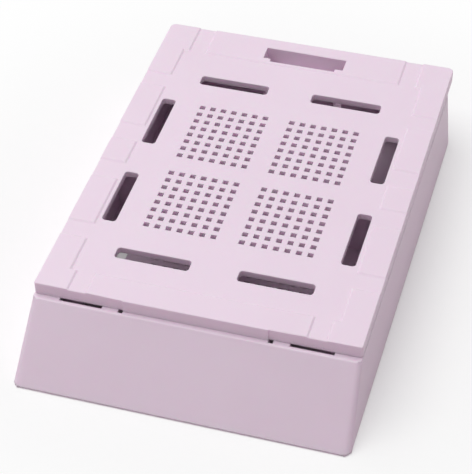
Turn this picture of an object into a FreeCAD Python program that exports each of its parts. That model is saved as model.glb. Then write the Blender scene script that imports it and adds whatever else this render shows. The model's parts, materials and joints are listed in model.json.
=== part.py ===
import FreeCAD, Part
import math
import os
from types import SimpleNamespace

import Sketcher

# A hinged tissue cassette: two acetal mouldings, the base and the lid.
# Frame: +Z up, the foot stands on z = 0, the writing face is at the -Y end,
# and the origin is the middle of the footprint.
# Lengths are in millimetres and angles in degrees.

SIZES = (
    # overall
    ("total_length", "43.2", "foot of the writing face to the lid's rear edge"),
    ("total_width", "28.9", "across the foot of the base"),
    ("total_height", "7.0", "foot to the top of the lid's raised pads"),
    # shell of the base
    ("lid_edge_depth", "1.2", "height of the lid's edge, which stands on the rim"),
    ("side_draft", "0.45", "how far each side leans in from foot to rim"),
    ("rear_draft", "0.7", "how far the rear wall leans in from foot to rim"),
    ("rear_overhang", "1.75", "lid beyond the rim at the rear, for a thumb"),
    ("face_run", "5.11", "depth of the sloping writing face, front to back"),
    ("foot_front_radius", "0.7", "front corners at the foot"),
    ("foot_rear_radius", "2.0", "rear corners at the foot"),
    ("rim_front_radius", "0.5", "front corners at the rim"),
    ("rim_rear_radius", "1.2", "rear corners at the rim"),
    ("side_wall", "1.2", "side walls at the rim"),
    ("rear_wall", "1.2", "rear wall at the rim"),
    ("front_wall", "0.9", "wall between the wells and the hinge"),
    ("panel_thickness", "0.9", "the sloping writing panel"),
    ("ledge_thickness", "0.8", "ledge between the writing panel and the front wall"),
    ("well_draft", "1.5", "draft angle of the walls inside the wells"),
    ("well_corner_radius", "0.8", "corners inside the wells"),
    ("floor_thickness", "0.75", "perforated floor"),
    ("foot_recess", "0.3", "floor's underside above the foot"),
    ("foot_rim", "1.3", "width of the rim that the base stands on"),
    ("divider_thickness", "1.0", "cross wall between the four wells"),
    ("divider_gap", "0.5", "end of the long cross wall to the rear wall, so that the latch can bend"),
    # perforations, the same in the floor and in the lid
    ("window_setback", "19.95", "lid's rear edge to the centre of the perforated field"),
    ("hole_width", "0.5", "square hole"),
    ("hole_pitch", "1.0", "hole to hole"),
    ("hole_columns", "7", "holes across one grid"),
    ("hole_rows", "8", "holes along one grid"),
    ("grid_gap", "2.5", "between the nearest holes of two grids"),
    ("slot_length", "6.5", "drain slot"),
    ("slot_width", "1.25", "drain slot"),
    ("slot_corner_radius", "0.3", "drain slot of the lid; the floor's have square corners"),
    ("side_slot_distance", "10.55", "field's centre line to a side slot, across"),
    ("side_slot_spacing", "10.75", "between the two slots of one side"),
    ("end_slot_distance", "12.2", "field's centre line to an end slot, along"),
    ("end_slot_spacing", "10.7", "between the two slots of one end"),
    # hinge
    ("bar_radius", "0.3", "hinge bar, the rounded top edge of the writing panel"),
    ("hinge_gap", "0.1", "hinge bar to the lid's front edge"),
    ("lug_clearance", "0.05", "hinge bar to the lug that turns on it"),
    ("lug_thickness", "1.4", "lug, measured outwards from the bar"),
    ("lug_neck", "0.6", "neck between a lug and the lid's edge, front to back"),
    ("lug_dip", "0.75", "how far a lug's upper face falls from the bar to the neck"),
    ("lug_width", "1.6", "lug along the hinge"),
    ("lug_side_clearance", "0.15", "lug to the outer end of its slot"),
    ("lug_swing_clearance", "0.15", "lug to the front wall behind it"),
    ("lug_toe_length", "0.75", "lug's toe, which lies along the back of the panel"),
    ("hinge_slot_length", "3.7", "slot that a lug turns in, along the hinge"),
    ("hinge_slot_distance", "9.85", "centre line to the middle of a hinge slot"),
    ("vent_width", "0.4", "vent beside each hinge slot, across"),
    ("vent_length", "1.0", "vent, front to back, mostly under the lid"),
    ("vent_distance", "6.4", "centre line to a vent"),
    ("vent_lead", "0.32", "how far a vent shows in front of the lid"),
    # lid
    ("lid_inset", "0.05", "lid's sides inside the rim's outline"),
    ("lid_front_radius", "0.2", "front corners of the lid"),
    ("lid_rear_radius", "0.55", "rear corners of the lid"),
    ("front_step", "0.12", "how far the lid's edge stands forward between the vents"),
    ("plate_thickness", "0.65", "perforated plate of the lid"),
    ("pad_height", "0.1", "raised pads round the lid's edge"),
    ("pad_ramp", "60", "slope of the pads' sides, from the upright"),
    ("rim_overlap", "0.2", "lid's edge reaches over the wells by this much"),
    ("side_pad_width", "2.3", "pads along the lid's sides"),
    ("side_pad_pitch", "6.83", "between two pads of one side"),
    ("side_pad_shift", "0.45", "middle side pad behind the field's centre"),
    ("middle_pad_length", "2.9", "middle pad of each side"),
    ("long_pad_length", "5.8", "pads next to the middle one"),
    ("last_pad_length", "3.7", "first and last pad of each side, which run into the corner pads"),
    ("end_pad_width", "18.6", "pads in the middle of the front and rear edges"),
    ("corner_pad_width", "2.85", "corner pads"),
    ("front_pad_distance", "15.3", "field's centre to the pads at the front edge"),
    ("rear_pad_distance", "16.3", "field's centre to the pads at the rear edge"),
    # latch
    ("latch_window_width", "7.75", "window in the lid over the latch tongue"),
    ("latch_window_length", "2.0", "window, front to back"),
    ("latch_window_margin", "1.4", "window to the lid's rear edge"),
    ("latch_shoulder_width", "0.75", "narrow end of the window"),
    ("latch_shoulder_depth", "0.4", "how much the narrow ends are set back"),
    ("latch_land", "0.8", "edge of the lid in front of the window"),
    ("catch_depth", "0.8", "catch below the lid's edge, behind the window"),
    ("catch_thickness", "0.8", "catch, front to back"),
    ("tongue_width", "6.1", "latch tongue, cut free from the rear wall"),
    ("tongue_drop", "0.5", "top of the tongue below the rim"),
    ("slit_width", "0.8", "slits beside the tongue"),
    ("slit_depth", "3.6", "slits, down from the rim"),
    ("nib_reach", "0.25", "nib on the back of the tongue, from the rim's rear edge"),
    ("nib_height", "0.35", "nib, top to bottom"),
)


class Size:
    """A number together with the expression that works it out from the sheet."""

    def __init__(self, number, text):
        self.number = float(number)
        self.text = text

    def __add__(self, other):
        other = as_size(other)
        return Size(self.number + other.number, f"({self.text} + {other.text})")

    def __sub__(self, other):
        other = as_size(other)
        return Size(self.number - other.number, f"({self.text} - {other.text})")

    def __rsub__(self, other):
        return as_size(other) - self

    def __mul__(self, other):
        other = as_size(other)
        return Size(self.number * other.number, f"({self.text} * {other.text})")

    def __rmul__(self, other):
        return as_size(other) * self

    def __truediv__(self, other):
        other = as_size(other)
        return Size(self.number / other.number, f"({self.text} / {other.text})")

    def __neg__(self):
        return 0 - self


def as_size(value):
    return value if isinstance(value, Size) else Size(value, repr(float(value)))


def slope_angle(rise, run):
    ratio = rise / run
    return Size(math.degrees(math.atan(ratio.number)), f"atan({ratio.text})")


def sine(angle):
    return Size(math.sin(math.radians(angle.number)), f"sin({angle.text})")


def cosine(angle):
    return Size(math.cos(math.radians(angle.number)), f"cos({angle.text})")


def tangent(angle):
    return Size(math.tan(math.radians(angle.number)), f"tan({angle.text})")


doc = FreeCAD.newDocument("tissue_cassette")
sheet = doc.addObject("Spreadsheet::Sheet", "sizes")
for row, (name, number, meaning) in enumerate(SIZES, start=1):
    sheet.set(f"A{row}", name)
    sheet.set(f"B{row}", number)
    sheet.set(f"C{row}", meaning)
    sheet.setAlias(f"B{row}", name)
doc.recompute()
size = SimpleNamespace(**{name: Size(number, f"sizes.{name}") for name, number, _ in SIZES})


# Sketches and features

def origin_plane(body, role):
    return next(plane for plane in body.Origin.OriginFeatures if plane.Role == role)


def bind(item, path, value):
    item.setExpression(path, as_size(value).text)


def new_sketch(body, name, role, offset=None):
    """An empty sketch on one of the body's origin planes, moved along its normal."""
    sketch = body.newObject("Sketcher::SketchObject", name)
    sketch.AttachmentSupport = [(origin_plane(body, role), "")]
    sketch.MapMode = "FlatFace"
    if offset is not None:
        bind(sketch, "AttachmentOffset.Base.z", offset)
    return sketch


def dimension(sketch, kind, *where, value):
    """A sketch constraint whose value comes from the sheet."""
    value = as_size(value)
    index = sketch.addConstraint(Sketcher.Constraint(kind, *where, value.number))
    bind(sketch, f"Constraints[{index}]", value)


def pin(sketch, item, point, x, y):
    """Places one point of a sketch item from the sketch's origin."""
    dimension(sketch, "DistanceX", -1, 1, item, point, value=x)
    dimension(sketch, "DistanceY", -1, 1, item, point, value=y)


def outline(sketch, corners, arcs=()):
    """A closed outline through corners. Arcs are (corner number, centre, radius): the side
    that leaves that corner is an arc of less than half a turn, and every other is a line."""
    corners = [(as_size(x), as_size(y)) for x, y in corners]
    points = [FreeCAD.Vector(x.number, y.number, 0) for x, y in corners]
    rounds = {number: (centre, radius) for number, centre, radius in arcs}
    sides = []
    for number, (start, end) in enumerate(zip(points, points[1:] + points[:1])):
        if number not in rounds:
            sides.append((sketch.addGeometry(Part.LineSegment(start, end)), 1, 2))
            continue
        (x, y), radius = rounds[number]
        centre = FreeCAD.Vector(x.number, y.number, 0)
        from_centre = start - centre
        to_centre = end - centre
        turns_left = from_centre.cross(to_centre).z > 0
        first, last = (from_centre, to_centre) if turns_left else (to_centre, from_centre)
        angles = math.atan2(first.y, first.x), math.atan2(last.y, last.x)
        ring = Part.Circle(centre, FreeCAD.Vector(0, 0, 1), radius.number)
        item = sketch.addGeometry(Part.ArcOfCircle(ring, *angles))
        sides.append((item, 1, 2) if turns_left else (item, 2, 1))
        dimension(sketch, "Radius", item, value=radius)
    for (side, _, end), (following, start, _) in zip(sides, sides[1:] + sides[:1]):
        sketch.addConstraint(Sketcher.Constraint("Coincident", side, end, following, start))
    for (side, start, _), (x, y) in zip(sides, corners):
        pin(sketch, side, start, x, y)


def rectangle(sketch, left, right, front, rear):
    outline(sketch, [(left, front), (right, front), (right, rear), (left, rear)])


def rounded_rectangle(sketch, left, right, front, rear, front_radius, rear_radius):
    """Four lines and four tangent corner arcs, each with its own centre and radius."""
    corners = (
        (left + front_radius, front + front_radius, front_radius, 180),
        (right - front_radius, front + front_radius, front_radius, 270),
        (right - rear_radius, rear - rear_radius, rear_radius, 0),
        (left + rear_radius, rear - rear_radius, rear_radius, 90),
    )
    arcs = []
    for x, y, radius, start in corners:
        centre = FreeCAD.Vector(x.number, y.number, 0)
        round_corner = Part.Circle(centre, FreeCAD.Vector(0, 0, 1), radius.number)
        sweep = math.radians(start), math.radians(start + 90)
        arcs.append(Part.ArcOfCircle(round_corner, *sweep))
    items = [sketch.addGeometry(arc) for arc in arcs]
    for item, (x, y, radius, _) in zip(items, corners):
        pin(sketch, item, 3, x, y)
        dimension(sketch, "Radius", item, value=radius)
    following = arcs[1:] + arcs[:1]
    for number, (arc, next_arc) in enumerate(zip(arcs, following)):
        line = sketch.addGeometry(Part.LineSegment(arc.EndPoint, next_arc.StartPoint))
        next_item = items[(number + 1) % len(items)]
        sketch.addConstraint(Sketcher.Constraint("Tangent", items[number], 2, line, 1))
        sketch.addConstraint(Sketcher.Constraint("Tangent", line, 2, next_item, 1))


def pad(body, name, sketch, length, symmetric=False):
    feature = body.newObject("PartDesign::Pad", name)
    feature.Profile = sketch
    feature.SideType = "Symmetric" if symmetric else "One side"
    bind(feature, "Length", length)
    return feature


def pocket(body, name, sketch, length=None, upwards=False, symmetric=False, draft=None):
    """Cuts a sketch down into the body, or up, or right through where no length is given."""
    feature = body.newObject("PartDesign::Pocket", name)
    feature.Profile = sketch
    feature.Reversed = upwards
    feature.SideType = "Symmetric" if symmetric else "One side"
    if length is None:
        feature.Type = "ThroughAll"
    else:
        bind(feature, "Length", length)
    if draft is not None:
        bind(feature, "TaperAngle", draft)
    return feature


def mirror(body, name, features):
    """The same features again on the other side of the centre line."""
    feature = body.newObject("PartDesign::Mirrored", name)
    feature.Originals = features
    feature.MirrorPlane = (origin_plane(body, "YZ_Plane"), [""])
    body.Tip = feature


def repeat(body, name, feature, sketch, steps):
    """Repeats a feature along its sketch's axes: steps are (axis, spacing, count)."""
    pattern = body.newObject("PartDesign::MultiTransform", name)
    pattern.Originals = [feature]
    body.Tip = pattern
    rows = []
    for number, (axis, spacing, count) in enumerate(steps):
        step = body.newObject("PartDesign::LinearPattern", f"{name}_step{number}")
        step.Direction = (sketch, [axis])
        step.Mode = "Spacing"
        bind(step, "Offset", spacing)
        bind(step, "Occurrences", count)
        rows.append(step)
    pattern.Transformations = rows
    body.Tip = pattern


# Places that both mouldings share

half_length = size.total_length / 2
half_width = size.total_width / 2

seat = size.total_height - size.lid_edge_depth
floor_top = size.foot_recess + size.floor_thickness
plate_under = size.total_height - size.pad_height - size.plate_thickness

rim_half_width = half_width - size.side_draft
rim_rear = half_length - size.rear_overhang
rim_front = size.face_run - half_length
face_angle = slope_angle(seat, size.face_run)

hinge_y = rim_front + size.bar_radius * tangent(face_angle / 2)
hinge_z = seat - size.bar_radius
lug_inner = size.bar_radius + size.lug_clearance
lug_outer = lug_inner + size.lug_thickness
slot_rear = lug_outer + size.lug_swing_clearance

well_half_width = rim_half_width - size.side_wall
well_front = hinge_y + slot_rear + size.front_wall
well_rear = rim_rear - size.rear_wall

lid_half_width = rim_half_width - size.lid_inset
lid_front = hinge_y + size.bar_radius + size.hinge_gap
latch_window_rear = half_length - size.latch_window_margin
latch_window_front = latch_window_rear - size.latch_window_length

window_y = half_length - size.window_setback


def slot_outline(sketch, left, right, front, rear, corner_radius):
    if corner_radius is None:
        rectangle(sketch, left, right, front, rear)
    else:
        rounded_rectangle(sketch, left, right, front, rear, corner_radius, corner_radius)


def perforate(body, height, corner_radius=None):
    """Drain slots and square holes, cut down through the plate whose top is at height.
    The slots' corners are square where no radius is given."""
    side_x = -size.side_slot_distance
    side_y = window_y - size.side_slot_spacing / 2
    side = new_sketch(body, "side_slot_outline", "XY_Plane", height)
    slot_outline(
        side,
        side_x - size.slot_width / 2,
        side_x + size.slot_width / 2,
        side_y - size.slot_length / 2,
        side_y + size.slot_length / 2,
        corner_radius,
    )
    side_slot = pocket(body, "side_slot", side)
    steps = (("H_Axis", size.side_slot_distance * 2, 2), ("V_Axis", size.side_slot_spacing, 2))
    repeat(body, "side_slots", side_slot, side, steps)

    end_x = -size.end_slot_spacing / 2
    end_y = window_y - size.end_slot_distance
    end = new_sketch(body, "end_slot_outline", "XY_Plane", height)
    slot_outline(
        end,
        end_x - size.slot_length / 2,
        end_x + size.slot_length / 2,
        end_y - size.slot_width / 2,
        end_y + size.slot_width / 2,
        corner_radius,
    )
    end_slot = pocket(body, "end_slot", end)
    steps = (("H_Axis", size.end_slot_spacing, 2), ("V_Axis", size.end_slot_distance * 2, 2))
    repeat(body, "end_slots", end_slot, end, steps)

    grid_width = size.hole_pitch * (size.hole_columns - 1)
    grid_length = size.hole_pitch * (size.hole_rows - 1)
    hole_x = -(size.grid_gap / 2 + grid_width)
    hole_y = window_y - (size.grid_gap / 2 + grid_length)
    hole = new_sketch(body, "hole_outline", "XY_Plane", height)
    rectangle(
        hole,
        hole_x - size.hole_width / 2,
        hole_x + size.hole_width / 2,
        hole_y - size.hole_width / 2,
        hole_y + size.hole_width / 2,
    )
    hole_cut = pocket(body, "hole", hole)
    steps = (
        ("H_Axis", size.hole_pitch, size.hole_columns),
        ("V_Axis", size.hole_pitch, size.hole_rows),
        ("H_Axis", grid_width + size.grid_gap, 2),
        ("V_Axis", grid_length + size.grid_gap, 2),
    )
    repeat(body, "holes", hole_cut, hole, steps)


def hinge_sketch(body, name, width, end_clearance=0):
    """A sketch across the hinge, where a slot, or a lug by its outer end, starts."""
    outer_end = size.hinge_slot_distance + size.hinge_slot_length / 2
    return new_sketch(body, name, "YZ_Plane", outer_end - end_clearance - width)


# Base

def add_shell(body):
    """The drafted outer block, whose front face is the writing face."""
    foot = new_sketch(body, "foot_outline", "XY_Plane")
    rounded_rectangle(
        foot,
        -half_width,
        half_width,
        -half_length,
        rim_rear + size.rear_draft,
        size.foot_front_radius,
        size.foot_rear_radius,
    )
    rim = new_sketch(body, "rim_outline", "XY_Plane", seat)
    rounded_rectangle(
        rim,
        -rim_half_width,
        rim_half_width,
        rim_front,
        rim_rear,
        size.rim_front_radius,
        size.rim_rear_radius,
    )
    shell = body.newObject("PartDesign::AdditiveLoft", "shell")
    shell.Profile = foot
    shell.Sections = [rim]
    shell.Ruled = True
    round_brow(body)


def round_brow(body):
    """Rounds the top edge of the writing face about the hinge axis."""
    reach = size.bar_radius * 2
    profile = new_sketch(body, "brow_outline", "YZ_Plane")
    outline(
        profile,
        [
            (hinge_y, seat),
            (hinge_y, hinge_z + reach),
            (hinge_y - reach * sine(face_angle), hinge_z + reach * cosine(face_angle)),
            (
                hinge_y - size.bar_radius * sine(face_angle),
                hinge_z + size.bar_radius * cosine(face_angle),
            ),
        ],
        arcs=[(3, (hinge_y, hinge_z), size.bar_radius)],
    )
    pocket(body, "brow", profile, size.total_width, symmetric=True)


def add_wells(body):
    """One drafted cavity, the cross wall that makes four wells of it, and the foot's recess."""
    well = new_sketch(body, "well_outline", "XY_Plane", seat)
    rounded_rectangle(
        well,
        -well_half_width,
        well_half_width,
        well_front,
        well_rear,
        size.well_corner_radius,
        size.well_corner_radius,
    )
    pocket(body, "wells", well, seat - floor_top, draft=-size.well_draft)

    across = new_sketch(body, "cross_wall_outline", "XY_Plane", floor_top)
    rectangle(
        across,
        size.side_wall / 2 - rim_half_width,
        rim_half_width - size.side_wall / 2,
        window_y - size.divider_thickness / 2,
        window_y + size.divider_thickness / 2,
    )
    pad(body, "cross_wall", across, seat - floor_top)
    along = new_sketch(body, "long_wall_outline", "XY_Plane", floor_top)
    rectangle(
        along,
        -size.divider_thickness / 2,
        size.divider_thickness / 2,
        well_front - size.front_wall / 2,
        well_rear - tangent(size.well_draft) * (seat - floor_top) - size.divider_gap,
    )
    pad(body, "long_wall", along, seat - floor_top)

    recess = new_sketch(body, "foot_recess_outline", "XY_Plane")
    rounded_rectangle(
        recess,
        size.foot_rim - half_width,
        half_width - size.foot_rim,
        well_front,
        rim_rear + size.rear_draft - size.foot_rim,
        size.well_corner_radius,
        size.well_corner_radius,
    )
    pocket(body, "foot_recess_cut", recess, size.foot_recess, upwards=True)


def add_panel_hollow(body):
    """The wedge-shaped hollow behind the writing panel, open below."""
    hollow_top = seat - size.ledge_thickness
    panel_at_foot = size.panel_thickness / sine(face_angle) - half_length
    panel_at_ledge = panel_at_foot + hollow_top / tangent(face_angle)
    front_wall_y = hinge_y + slot_rear
    profile = new_sketch(body, "panel_hollow_outline", "YZ_Plane")
    outline(
        profile,
        [
            (panel_at_foot, 0),
            (front_wall_y, 0),
            (front_wall_y, hollow_top),
            (panel_at_ledge, hollow_top),
        ],
    )
    width = (rim_half_width - size.side_wall) * 2
    pocket(body, "panel_hollow", profile, width, symmetric=True)


def add_hinge_slots(body):
    """Slots that leave the top edge of the panel as a round bar for the lugs to turn on."""
    depth = -slot_rear
    behind_bar = size.bar_radius * sine(face_angle)
    below_bar = -(size.bar_radius * cosine(face_angle))
    panel_back = (size.bar_radius + depth * cosine(face_angle)) / sine(face_angle)
    profile = hinge_sketch(body, "hinge_slot_outline", size.hinge_slot_length)
    outline(
        profile,
        [
            (hinge_y, seat),
            (hinge_y + behind_bar, hinge_z + below_bar),
            (hinge_y + panel_back, hinge_z + depth),
            (hinge_y + slot_rear, hinge_z + depth),
            (hinge_y + slot_rear, seat + size.bar_radius),
            (hinge_y, seat + size.bar_radius),
        ],
        arcs=[(0, (hinge_y, hinge_z), size.bar_radius)],
    )
    slot = pocket(body, "hinge_slot", profile, size.hinge_slot_length, upwards=True)
    mirror(body, "hinge_slots", [slot])

    vent = new_sketch(body, "vent_outline", "XY_Plane", seat)
    rectangle(
        vent,
        size.vent_distance - size.vent_width / 2,
        size.vent_distance + size.vent_width / 2,
        lid_front - size.vent_lead,
        lid_front - size.vent_lead + size.vent_length,
    )
    cut = pocket(body, "vent", vent, size.ledge_thickness)
    mirror(body, "vents", [cut])


def add_latch_tongue(body):
    """A springy tongue between two slits in the rear wall, a little lower than the rim, with a
    nib on its back."""
    slit = new_sketch(body, "slit_outline", "XY_Plane", seat)
    rectangle(
        slit,
        size.tongue_width / 2,
        size.tongue_width / 2 + size.slit_width,
        well_rear - size.rear_wall / 2,
        rim_rear + size.rear_draft,
    )
    cut = pocket(body, "slit", slit, size.slit_depth)
    mirror(body, "slits", [cut])

    half = (size.tongue_width + size.slit_width) / 2
    notch = new_sketch(body, "notch_outline", "XY_Plane", seat)
    rectangle(
        notch,
        -half,
        half,
        well_rear - size.rear_wall / 2,
        rim_rear + size.rear_draft,
    )
    pocket(body, "notch", notch, size.tongue_drop)

    top = seat - size.tongue_drop
    nib = new_sketch(body, "nib_outline", "YZ_Plane")
    outline(
        nib,
        [
            (rim_rear, top),
            (rim_rear, top - size.nib_height),
            (rim_rear + size.nib_reach, top - size.nib_height / 2),
        ],
    )
    pad(body, "nib", nib, size.tongue_width, symmetric=True)


def make_base():
    body = doc.addObject("PartDesign::Body", "cassette_base")
    body.Label = "cassette_base"
    add_shell(body)
    add_wells(body)
    add_panel_hollow(body)
    add_hinge_slots(body)
    add_latch_tongue(body)
    perforate(body, floor_top)
    return body


# Lid

def add_plate(body):
    """The lid's block, hollowed from below so that its edge stands deeper than its plate."""
    edge = new_sketch(body, "lid_outline", "XY_Plane", seat)
    rounded_rectangle(
        edge,
        -lid_half_width,
        lid_half_width,
        lid_front,
        half_length,
        size.lid_front_radius,
        size.lid_rear_radius,
    )
    pad(body, "plate", edge, size.lid_edge_depth)
    step = new_sketch(body, "front_step_outline", "XY_Plane", seat)
    half = size.vent_distance - size.vent_width / 2
    rectangle(step, -half, half, lid_front - size.front_step, lid_front)
    pad(body, "step", step, size.lid_edge_depth)
    under = new_sketch(body, "underside_outline", "XY_Plane", seat)
    rounded_rectangle(
        under,
        size.rim_overlap - well_half_width,
        well_half_width - size.rim_overlap,
        well_front + size.rim_overlap,
        latch_window_front - size.latch_land,
        size.well_corner_radius,
        size.well_corner_radius,
    )
    pocket(body, "underside", under, plate_under - seat, upwards=True)


def add_catch(body):
    """A bar under the lid's rear edge, behind the window, for the tongue's nib to hold."""
    catch = new_sketch(body, "catch_outline", "XY_Plane", seat - size.catch_depth)
    rectangle(
        catch,
        -size.latch_window_width / 2,
        size.latch_window_width / 2,
        latch_window_rear,
        latch_window_rear + size.catch_thickness,
    )
    pad(body, "catch", catch, size.catch_depth + size.lid_edge_depth / 2)


def groove(sketch, start, end):
    """The section of a groove in the lid's top, between the ramps of two pads."""
    top = size.total_height
    floor = top - size.pad_height
    ramp = size.pad_height * tangent(size.pad_ramp)
    outline(sketch, [(start, top), (start + ramp, floor), (end - ramp, floor), (end, top)])


def add_pads(body):
    """Lowers the lid's top by the height of the pads wherever there is no pad: first inside
    the ring of pads, then between them, by grooves from edge to edge."""
    field_edge = lid_half_width - size.side_pad_width
    front_pads = window_y - size.front_pad_distance
    rear_pads = window_y + size.rear_pad_distance
    field = new_sketch(body, "field_outline", "XY_Plane", size.total_height)
    rectangle(field, -field_edge, field_edge, front_pads, rear_pads)
    pocket(body, "field", field, size.pad_height, draft=-size.pad_ramp)

    inner = size.end_pad_width / 2
    outer = lid_half_width - size.corner_pad_width
    channels = new_sketch(body, "channel_outline", "XZ_Plane")
    groove(channels, inner, outer)
    groove(channels, -outer, -inner)
    pocket(body, "channels", channels, size.total_length * 2, symmetric=True)

    lengths = (
        size.last_pad_length,
        size.long_pad_length,
        size.middle_pad_length,
        size.long_pad_length,
        size.last_pad_length,
    )
    middle = window_y + size.side_pad_shift - size.side_pad_pitch * 2
    gaps = new_sketch(body, "gap_outline", "YZ_Plane")
    for length, next_length in zip(lengths, lengths[1:]):
        gap_start = middle + length / 2
        middle = middle + size.side_pad_pitch
        groove(gaps, gap_start, middle - next_length / 2)
    pocket(body, "gaps", gaps, size.total_width, symmetric=True)


def add_latch_window(body):
    """The window for the base's tongue, a little narrower at both ends."""
    half = size.latch_window_width / 2
    inner = half - size.latch_shoulder_width
    shoulder = latch_window_front + size.latch_shoulder_depth
    window = new_sketch(body, "latch_window_outline", "XY_Plane", size.total_height)
    outline(
        window,
        [
            (-inner, latch_window_front),
            (inner, latch_window_front),
            (inner, shoulder),
            (half, shoulder),
            (half, latch_window_rear),
            (-half, latch_window_rear),
            (-half, shoulder),
            (-inner, shoulder),
        ],
    )
    pocket(body, "latch_window", window)


def add_lugs(body):
    """Two hooked lugs on necks below the front edge, hollowed to turn on the base's hinge bar."""
    neck_front = lug_outer - size.lug_neck
    toe_front = lug_inner * sine(face_angle) - size.lug_toe_length * cosine(face_angle)
    toe_low = -(lug_inner * cosine(face_angle) + size.lug_toe_length * sine(face_angle))
    corners = [
        (hinge_y + lug_inner, hinge_z),
        (hinge_y + lug_inner * sine(face_angle), hinge_z - lug_inner * cosine(face_angle)),
        (hinge_y + toe_front, hinge_z + toe_low),
        (hinge_y, hinge_z - lug_outer),
        (hinge_y + lug_outer, hinge_z),
        (hinge_y + lug_outer, seat),
        (hinge_y + neck_front, seat),
        (hinge_y + neck_front, hinge_z - size.lug_dip),
    ]
    axis = (hinge_y, hinge_z)
    profile = hinge_sketch(body, "lug_outline", size.lug_width, size.lug_side_clearance)
    outline(profile, corners, arcs=[(0, axis, lug_inner), (3, axis, lug_outer)])
    lug = pad(body, "lug", profile, size.lug_width)
    mirror(body, "lugs", [lug])


def make_lid():
    body = doc.addObject("PartDesign::Body", "cassette_lid")
    body.Label = "cassette_lid"
    add_plate(body)
    add_catch(body)
    add_lugs(body)
    add_pads(body)
    add_latch_window(body)
    perforate(body, size.total_height, size.slot_corner_radius)
    return body


def check(bodies):
    """Stops before anything is written if a feature failed or a cut removed nothing."""
    for item in doc.Objects:
        if "Invalid" in item.State or "Error" in item.State:
            raise RuntimeError(f"{item.Name} failed: {item.State}")
    for body in bodies:
        if body.Shape.isNull() or not body.Shape.isValid() or len(body.Shape.Solids) != 1:
            raise RuntimeError(f"{body.Label} is not one valid solid")
        volume = 0.0
        for feature in body.Group:
            if not feature.isDerivedFrom("PartDesign::Feature") or feature.Shape.isNull():
                continue
            cuts = feature.isDerivedFrom("PartDesign::Pocket")
            if cuts and not feature.Shape.Volume < volume:
                raise RuntimeError(f"{body.Label}: {feature.Name} removes nothing")
            volume = feature.Shape.Volume


base = make_base()
lid = make_lid()
doc.recompute()
check([base, lid])

os.makedirs("parts", exist_ok=True)
for moulding in (base, lid):
    moulding.Shape.exportStep(f"parts/{moulding.Label}.step")
    box = moulding.Shape.BoundBox
    print(
        f"{moulding.Label}: {moulding.Shape.Volume:.1f} mm3, {len(moulding.Shape.Faces)} faces,"
        f" x {box.XMin:.2f}..{box.XMax:.2f}, y {box.YMin:.2f}..{box.YMax:.2f},"
        f" z {box.ZMin:.2f}..{box.ZMax:.2f}"
    )
print(f"hinge axis y {hinge_y.number:.4f}, z {hinge_z.number:.4f}")
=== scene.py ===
import bpy
import json
import math
from mathutils import Matrix, Vector

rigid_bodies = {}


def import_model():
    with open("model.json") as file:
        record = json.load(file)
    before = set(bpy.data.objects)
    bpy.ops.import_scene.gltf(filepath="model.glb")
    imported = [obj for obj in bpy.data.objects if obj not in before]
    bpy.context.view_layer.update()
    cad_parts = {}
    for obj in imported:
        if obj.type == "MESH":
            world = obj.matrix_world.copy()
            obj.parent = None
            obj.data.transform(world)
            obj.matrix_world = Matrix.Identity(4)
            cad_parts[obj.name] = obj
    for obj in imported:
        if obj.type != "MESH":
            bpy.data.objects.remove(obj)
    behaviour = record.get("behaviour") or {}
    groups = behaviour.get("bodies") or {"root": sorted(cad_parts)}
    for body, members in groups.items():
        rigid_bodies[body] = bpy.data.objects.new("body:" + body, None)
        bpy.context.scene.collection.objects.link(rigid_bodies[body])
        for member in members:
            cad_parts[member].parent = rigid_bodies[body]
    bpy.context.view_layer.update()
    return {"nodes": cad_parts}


# A closed tissue cassette in pale lilac acetal, on a plain pale floor.
# The two mouldings come from the frame; this script rounds their edges and finishes them.

for leftover in list(bpy.data.objects):
    bpy.data.objects.remove(leftover)
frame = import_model()
mm = 0.001
print("frame loaded:", sorted(frame["nodes"]))


class Link:
    # one output of a node, so that shader and geometry maths reads as an expression
    def __init__(self, graph, socket):
        self.graph = graph
        self.socket = socket

    def maths(self, operation, first, second):
        return self.graph.add("ShaderNodeMath", {"operation": operation}, {0: first, 1: second})

    def __add__(self, other):
        return self.maths("ADD", self, other)

    def __radd__(self, other):
        return self.maths("ADD", other, self)

    def __sub__(self, other):
        return self.maths("SUBTRACT", self, other)

    def __rsub__(self, other):
        return self.maths("SUBTRACT", other, self)

    def __mul__(self, other):
        return self.maths("MULTIPLY", self, other)

    def __rmul__(self, other):
        return self.maths("MULTIPLY", other, self)

    def __lt__(self, other):
        return self.maths("LESS_THAN", self, other)

    def __gt__(self, other):
        return self.maths("GREATER_THAN", self, other)

    def __abs__(self):
        return self.maths("ABSOLUTE", self, 0.0)


class Graph:
    # a node tree that is filled by one method
    def __init__(self, tree):
        self.tree = tree
        tree.nodes.clear()

    def add(self, kind, settings=None, inputs=None, output=0):
        node = self.tree.nodes.new(kind)
        for name, value in (settings or {}).items():
            setattr(node, name, value)
        for name, value in (inputs or {}).items():
            if isinstance(value, Link):
                self.tree.links.new(value.socket, node.inputs[name])
            else:
                node.inputs[name].default_value = value
        return Link(self, node.outputs[output]) if len(node.outputs) else None

    def split(self, vector):
        return [self.add("ShaderNodeSeparateXYZ", {}, {0: vector}, axis) for axis in range(3)]

    def noise(self, place, size, detail):
        settings = {"noise_dimensions": "3D"}
        inputs = {"Vector": place, "Scale": 1.0 / size, "Detail": detail}
        return self.add("ShaderNodeTexNoise", settings, inputs)

    def mixColour(self, factor, first, second):
        # sockets 6 and 7 take the two colours, and output 2 gives their mix
        inputs = {"Factor": factor, 6: first, 7: second}
        return self.add("ShaderNodeMix", {"data_type": "RGBA"}, inputs, 2)


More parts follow.
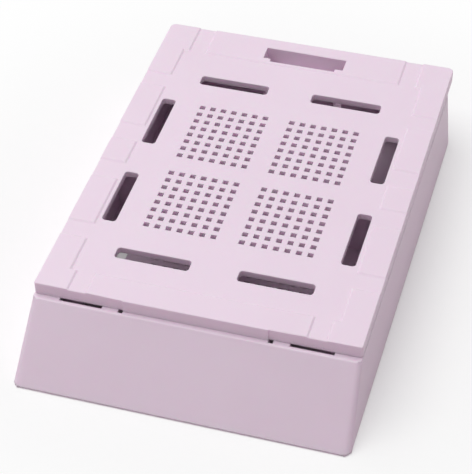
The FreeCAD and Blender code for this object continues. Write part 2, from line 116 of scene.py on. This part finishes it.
# Edges: the mould leaves every outward edge rounded, least round the holes and most at the foot
edges = {
    "weldWithin": 0.0005 * mm,
    "flatWithin": math.radians(0.4),
    "creaseFrom": math.radians(10),
    "roundFrom": math.radians(35),
    "largest": 0.24 * mm,
    "holes": {"share": 0.14, "halfWidth": 8.0 * mm, "halfLength": 9.3 * mm},
    "slots": {"share": 0.28, "halfWidth": 11.4 * mm, "halfLength": 13.2 * mm},
    "hinge": {"share": 0.12, "halfWidth": 12.0 * mm, "top": 5.9 * mm, "rear": -15.2 * mm},
    "foot": {"share": 1.0, "height": 0.1 * mm},
    "outer": {"share": 0.38},
    "steps": 3,
    "fieldY": 1.65 * mm,
}


def roundingTree(look):
    tree = bpy.data.node_groups.new("edgeRounding", "GeometryNodeTree")
    graph = Graph(tree)
    tree.interface.new_socket("Geometry", in_out="INPUT", socket_type="NodeSocketGeometry")
    tree.interface.new_socket("Geometry", in_out="OUTPUT", socket_type="NodeSocketGeometry")
    # an outward edge gets its bevel weight, and any other bend, inward or slight, stays a crease
    convex = graph.add("GeometryNodeInputMeshEdgeAngle", {}, {}, "Signed Angle")
    convex = convex > look["roundFrom"]
    bent = graph.add("GeometryNodeInputMeshEdgeAngle", {}, {}, "Unsigned Angle")
    bent = bent > look["creaseFrom"]
    mesh = graph.add("NodeGroupInput")
    inputs = {"Mesh": mesh, "Edge Sharpness": bent - convex}
    mesh = graph.add("GeometryNodeSetMeshNormal", {"mode": "SHARPNESS"}, inputs)
    x, y, z = graph.split(graph.add("GeometryNodeInputPosition"))
    across, along = abs(x), abs(y - look["fieldY"])
    share = look["outer"]["share"]
    for region in ("slots", "holes"):
        part = look[region]
        inside = (across < part["halfWidth"]) * (along < part["halfLength"])
        share = share + inside * (part["share"] - share)
    part = look["hinge"]
    inside = (across < part["halfWidth"]) * (z < part["top"]) * (y < part["rear"])
    share = share + inside * (part["share"] - share)
    foot = z < look["foot"]["height"]
    share = share + foot * (look["foot"]["share"] - share)
    settings = {"data_type": "FLOAT", "domain": "EDGE"}
    inputs = {"Geometry": mesh, "Name": "bevel_weight_edge", "Value": share * convex}
    mesh = graph.add("GeometryNodeStoreNamedAttribute", settings, inputs)
    graph.add("NodeGroupOutput", {}, {0: mesh})
    return tree


def roundEdges(moulding, look, tree):
    weld = moulding.modifiers.new("weld", "WELD")
    weld.merge_threshold = look["weldWithin"]
    flats = moulding.modifiers.new("flats", "DECIMATE")
    flats.decimate_type = "DISSOLVE"
    flats.angle_limit = look["flatWithin"]
    shares = moulding.modifiers.new("shares", "NODES")
    shares.node_group = tree
    bevel = moulding.modifiers.new("edges", "BEVEL")
    bevel.limit_method = "WEIGHT"
    bevel.width = look["largest"]
    bevel.segments = look["steps"]
    bevel.use_clamp_overlap = False
    bevel.loop_slide = False
    bevel.harden_normals = True


# Plastic: matt lilac acetal with a faint cloudiness and a fine moulded grain
plastic = {
    "colour": (0.85, 0.695, 0.815, 1.0),
    "paler": (0.88, 0.73, 0.85, 1.0),
    "cloudSize": 5.0 * mm,
    "cloudDetail": 3.0,
    "roughness": 0.42,
    "roughnessDrift": 0.08,
    "grainSize": 0.09 * mm,
    "grainDetail": 2.0,
    "grainDepth": 0.002 * mm,
    "ior": 1.48,
    "glow": 0.3,
    "glowReach": (1.0, 0.6, 0.85),
    "glowScale": 0.6 * mm,
}


def lilacAcetal(look):
    material = bpy.data.materials.new("lilacAcetal")
    material.use_nodes = True
    graph = Graph(material.node_tree)
    place = graph.add("ShaderNodeTexCoord", {}, {}, "Object")
    cloud = graph.noise(place, look["cloudSize"], look["cloudDetail"])
    colour = graph.mixColour(cloud, look["colour"], look["paler"])
    grain = graph.noise(place, look["grainSize"], look["grainDetail"])
    bump = graph.add("ShaderNodeBump", {}, {
        "Strength": 1.0,
        "Distance": look["grainDepth"],
        "Height": grain,
    })
    shader = graph.add("ShaderNodeBsdfPrincipled", {}, {
        "Base Color": colour,
        "Roughness": look["roughness"] + (cloud - 0.5) * look["roughnessDrift"],
        "Normal": bump,
        "IOR": look["ior"],
        "Subsurface Weight": look["glow"],
        "Subsurface Radius": look["glowReach"],
        "Subsurface Scale": look["glowScale"],
    })
    graph.add("ShaderNodeOutputMaterial", {}, {"Surface": shader})
    return material


tree = roundingTree(edges)
acetal = lilacAcetal(plastic)
for moulding in frame["nodes"].values():
    roundEdges(moulding, edges, tree)
    for index in range(len(moulding.data.materials)):
        moulding.data.materials[index] = acetal
print("mouldings finished")


# Studio: one broad soft light overhead, a little to the left, a weak sky and a pale floor
studio = {
    "floorSize": 2.0,
    "floorSeen": (1.0, 1.0, 1.0, 1.0),
    "floorBounce": (0.78, 0.66, 0.72, 1.0),
    "floorGlow": 0.2,
    "fadeFrom": 12 * mm,
    "fadeTo": 50 * mm,
    "lampSize": 0.5,
    "lampPlace": Vector((-0.14, 0.05, 0.45)),
    "lampPower": 1.94,
    "skyLight": 0.28,
}


def whiteRays(graph):
    # 1 for the rays that meet plain white: those of the camera, and those mirrored or let through
    seen = graph.add("ShaderNodeLightPath", {}, {}, "Is Camera Ray")
    for kind in ("Is Glossy Ray", "Is Transmission Ray"):
        other = graph.add("ShaderNodeLightPath", {}, {}, kind)
        seen = graph.add("ShaderNodeMath", {"operation": "MAXIMUM"}, {0: seen, 1: other})
    return seen


def layFloor(look):
    half = look["floorSize"] / 2
    mesh = bpy.data.meshes.new("floor")
    corners = [(-half, -half, 0), (half, -half, 0), (half, half, 0), (-half, half, 0)]
    mesh.from_pydata(corners, [], [(0, 1, 2, 3)])
    floor = bpy.data.objects.new("floor", mesh)
    bpy.context.scene.collection.objects.link(floor)
    material = bpy.data.materials.new("paleFloor")
    material.use_nodes = True
    graph = Graph(material.node_tree)
    dull = graph.add("ShaderNodeBsdfDiffuse", {}, {"Color": look["floorBounce"]})
    lit = graph.add("ShaderNodeBsdfDiffuse", {}, {"Color": look["floorSeen"]})
    plain = graph.add("ShaderNodeEmission", {}, {"Color": look["floorSeen"], "Strength": 1.0})
    # the shadow fades into plain white away from the object
    place = graph.add("ShaderNodeTexCoord", {}, {}, "Object")
    away = graph.add("ShaderNodeVectorMath", {"operation": "LENGTH"}, {0: place}, "Value")
    fade = graph.add("ShaderNodeMapRange", {"interpolation_type": "SMOOTHSTEP"}, {
        "Value": away,
        "From Min": look["fadeFrom"],
        "From Max": look["fadeTo"],
        "To Min": look["floorGlow"],
    })
    white = graph.add("ShaderNodeMixShader", {}, {0: fade, 1: lit, 2: plain})
    shader = graph.add("ShaderNodeMixShader", {}, {0: whiteRays(graph), 1: dull, 2: white})
    graph.add("ShaderNodeOutputMaterial", {}, {"Surface": shader})
    mesh.materials.append(material)


def hangLamp(look):
    lamp = bpy.data.lights.new("softbox", "AREA")
    lamp.shape = "SQUARE"
    lamp.size = look["lampSize"]
    lamp.energy = look["lampPower"]
    holder = bpy.data.objects.new("softbox", lamp)
    holder.location = look["lampPlace"]
    holder.rotation_euler = look["lampPlace"].to_track_quat("Z", "Y").to_euler()
    bpy.context.scene.collection.objects.link(holder)


def spreadSky(look):
    world = bpy.data.worlds.new("sky")
    world.use_nodes = True
    graph = Graph(world.node_tree)
    strength = look["skyLight"] + whiteRays(graph) * (1.0 - look["skyLight"])
    shader = graph.add("ShaderNodeBackground", {}, {"Color": (1, 1, 1, 1), "Strength": strength})
    graph.add("ShaderNodeOutputWorld", {}, {"Surface": shader})
    bpy.context.scene.world = world


layFloor(studio)
hangLamp(studio)
spreadSky(studio)
print("studio ready")


# Camera: above the front right corner, looking down at the lid
view = {
    "aim": Vector((0.64, -6.23, 7.0)) * mm,
    "distance": 147.64 * mm,
    "azimuth": math.radians(16.96),
    "elevation": math.radians(42.92),
    "roll": math.radians(-1.1),
    "lens": 132.4,
    "sensor": 36.0,
    "nearest": 1 * mm,
}


def placeCamera(look):
    level = math.cos(look["elevation"])
    back = Vector((
        level * math.sin(look["azimuth"]),
        -level * math.cos(look["azimuth"]),
        math.sin(look["elevation"]),
    ))
    lens = bpy.data.cameras.new("camera")
    lens.sensor_width = look["sensor"]
    lens.lens = look["lens"]
    lens.clip_start = look["nearest"]
    camera = bpy.data.objects.new("camera", lens)
    turn = back.to_track_quat("Z", "Y").to_matrix() @ Matrix.Rotation(look["roll"], 3, "Z")
    camera.matrix_world = Matrix.Translation(look["aim"] + back * look["distance"]) @ turn.to_4x4()
    bpy.context.scene.collection.objects.link(camera)
    bpy.context.scene.camera = camera


placeCamera(view)
bpy.context.scene.view_settings.view_transform = "Standard"

print("camera placed")
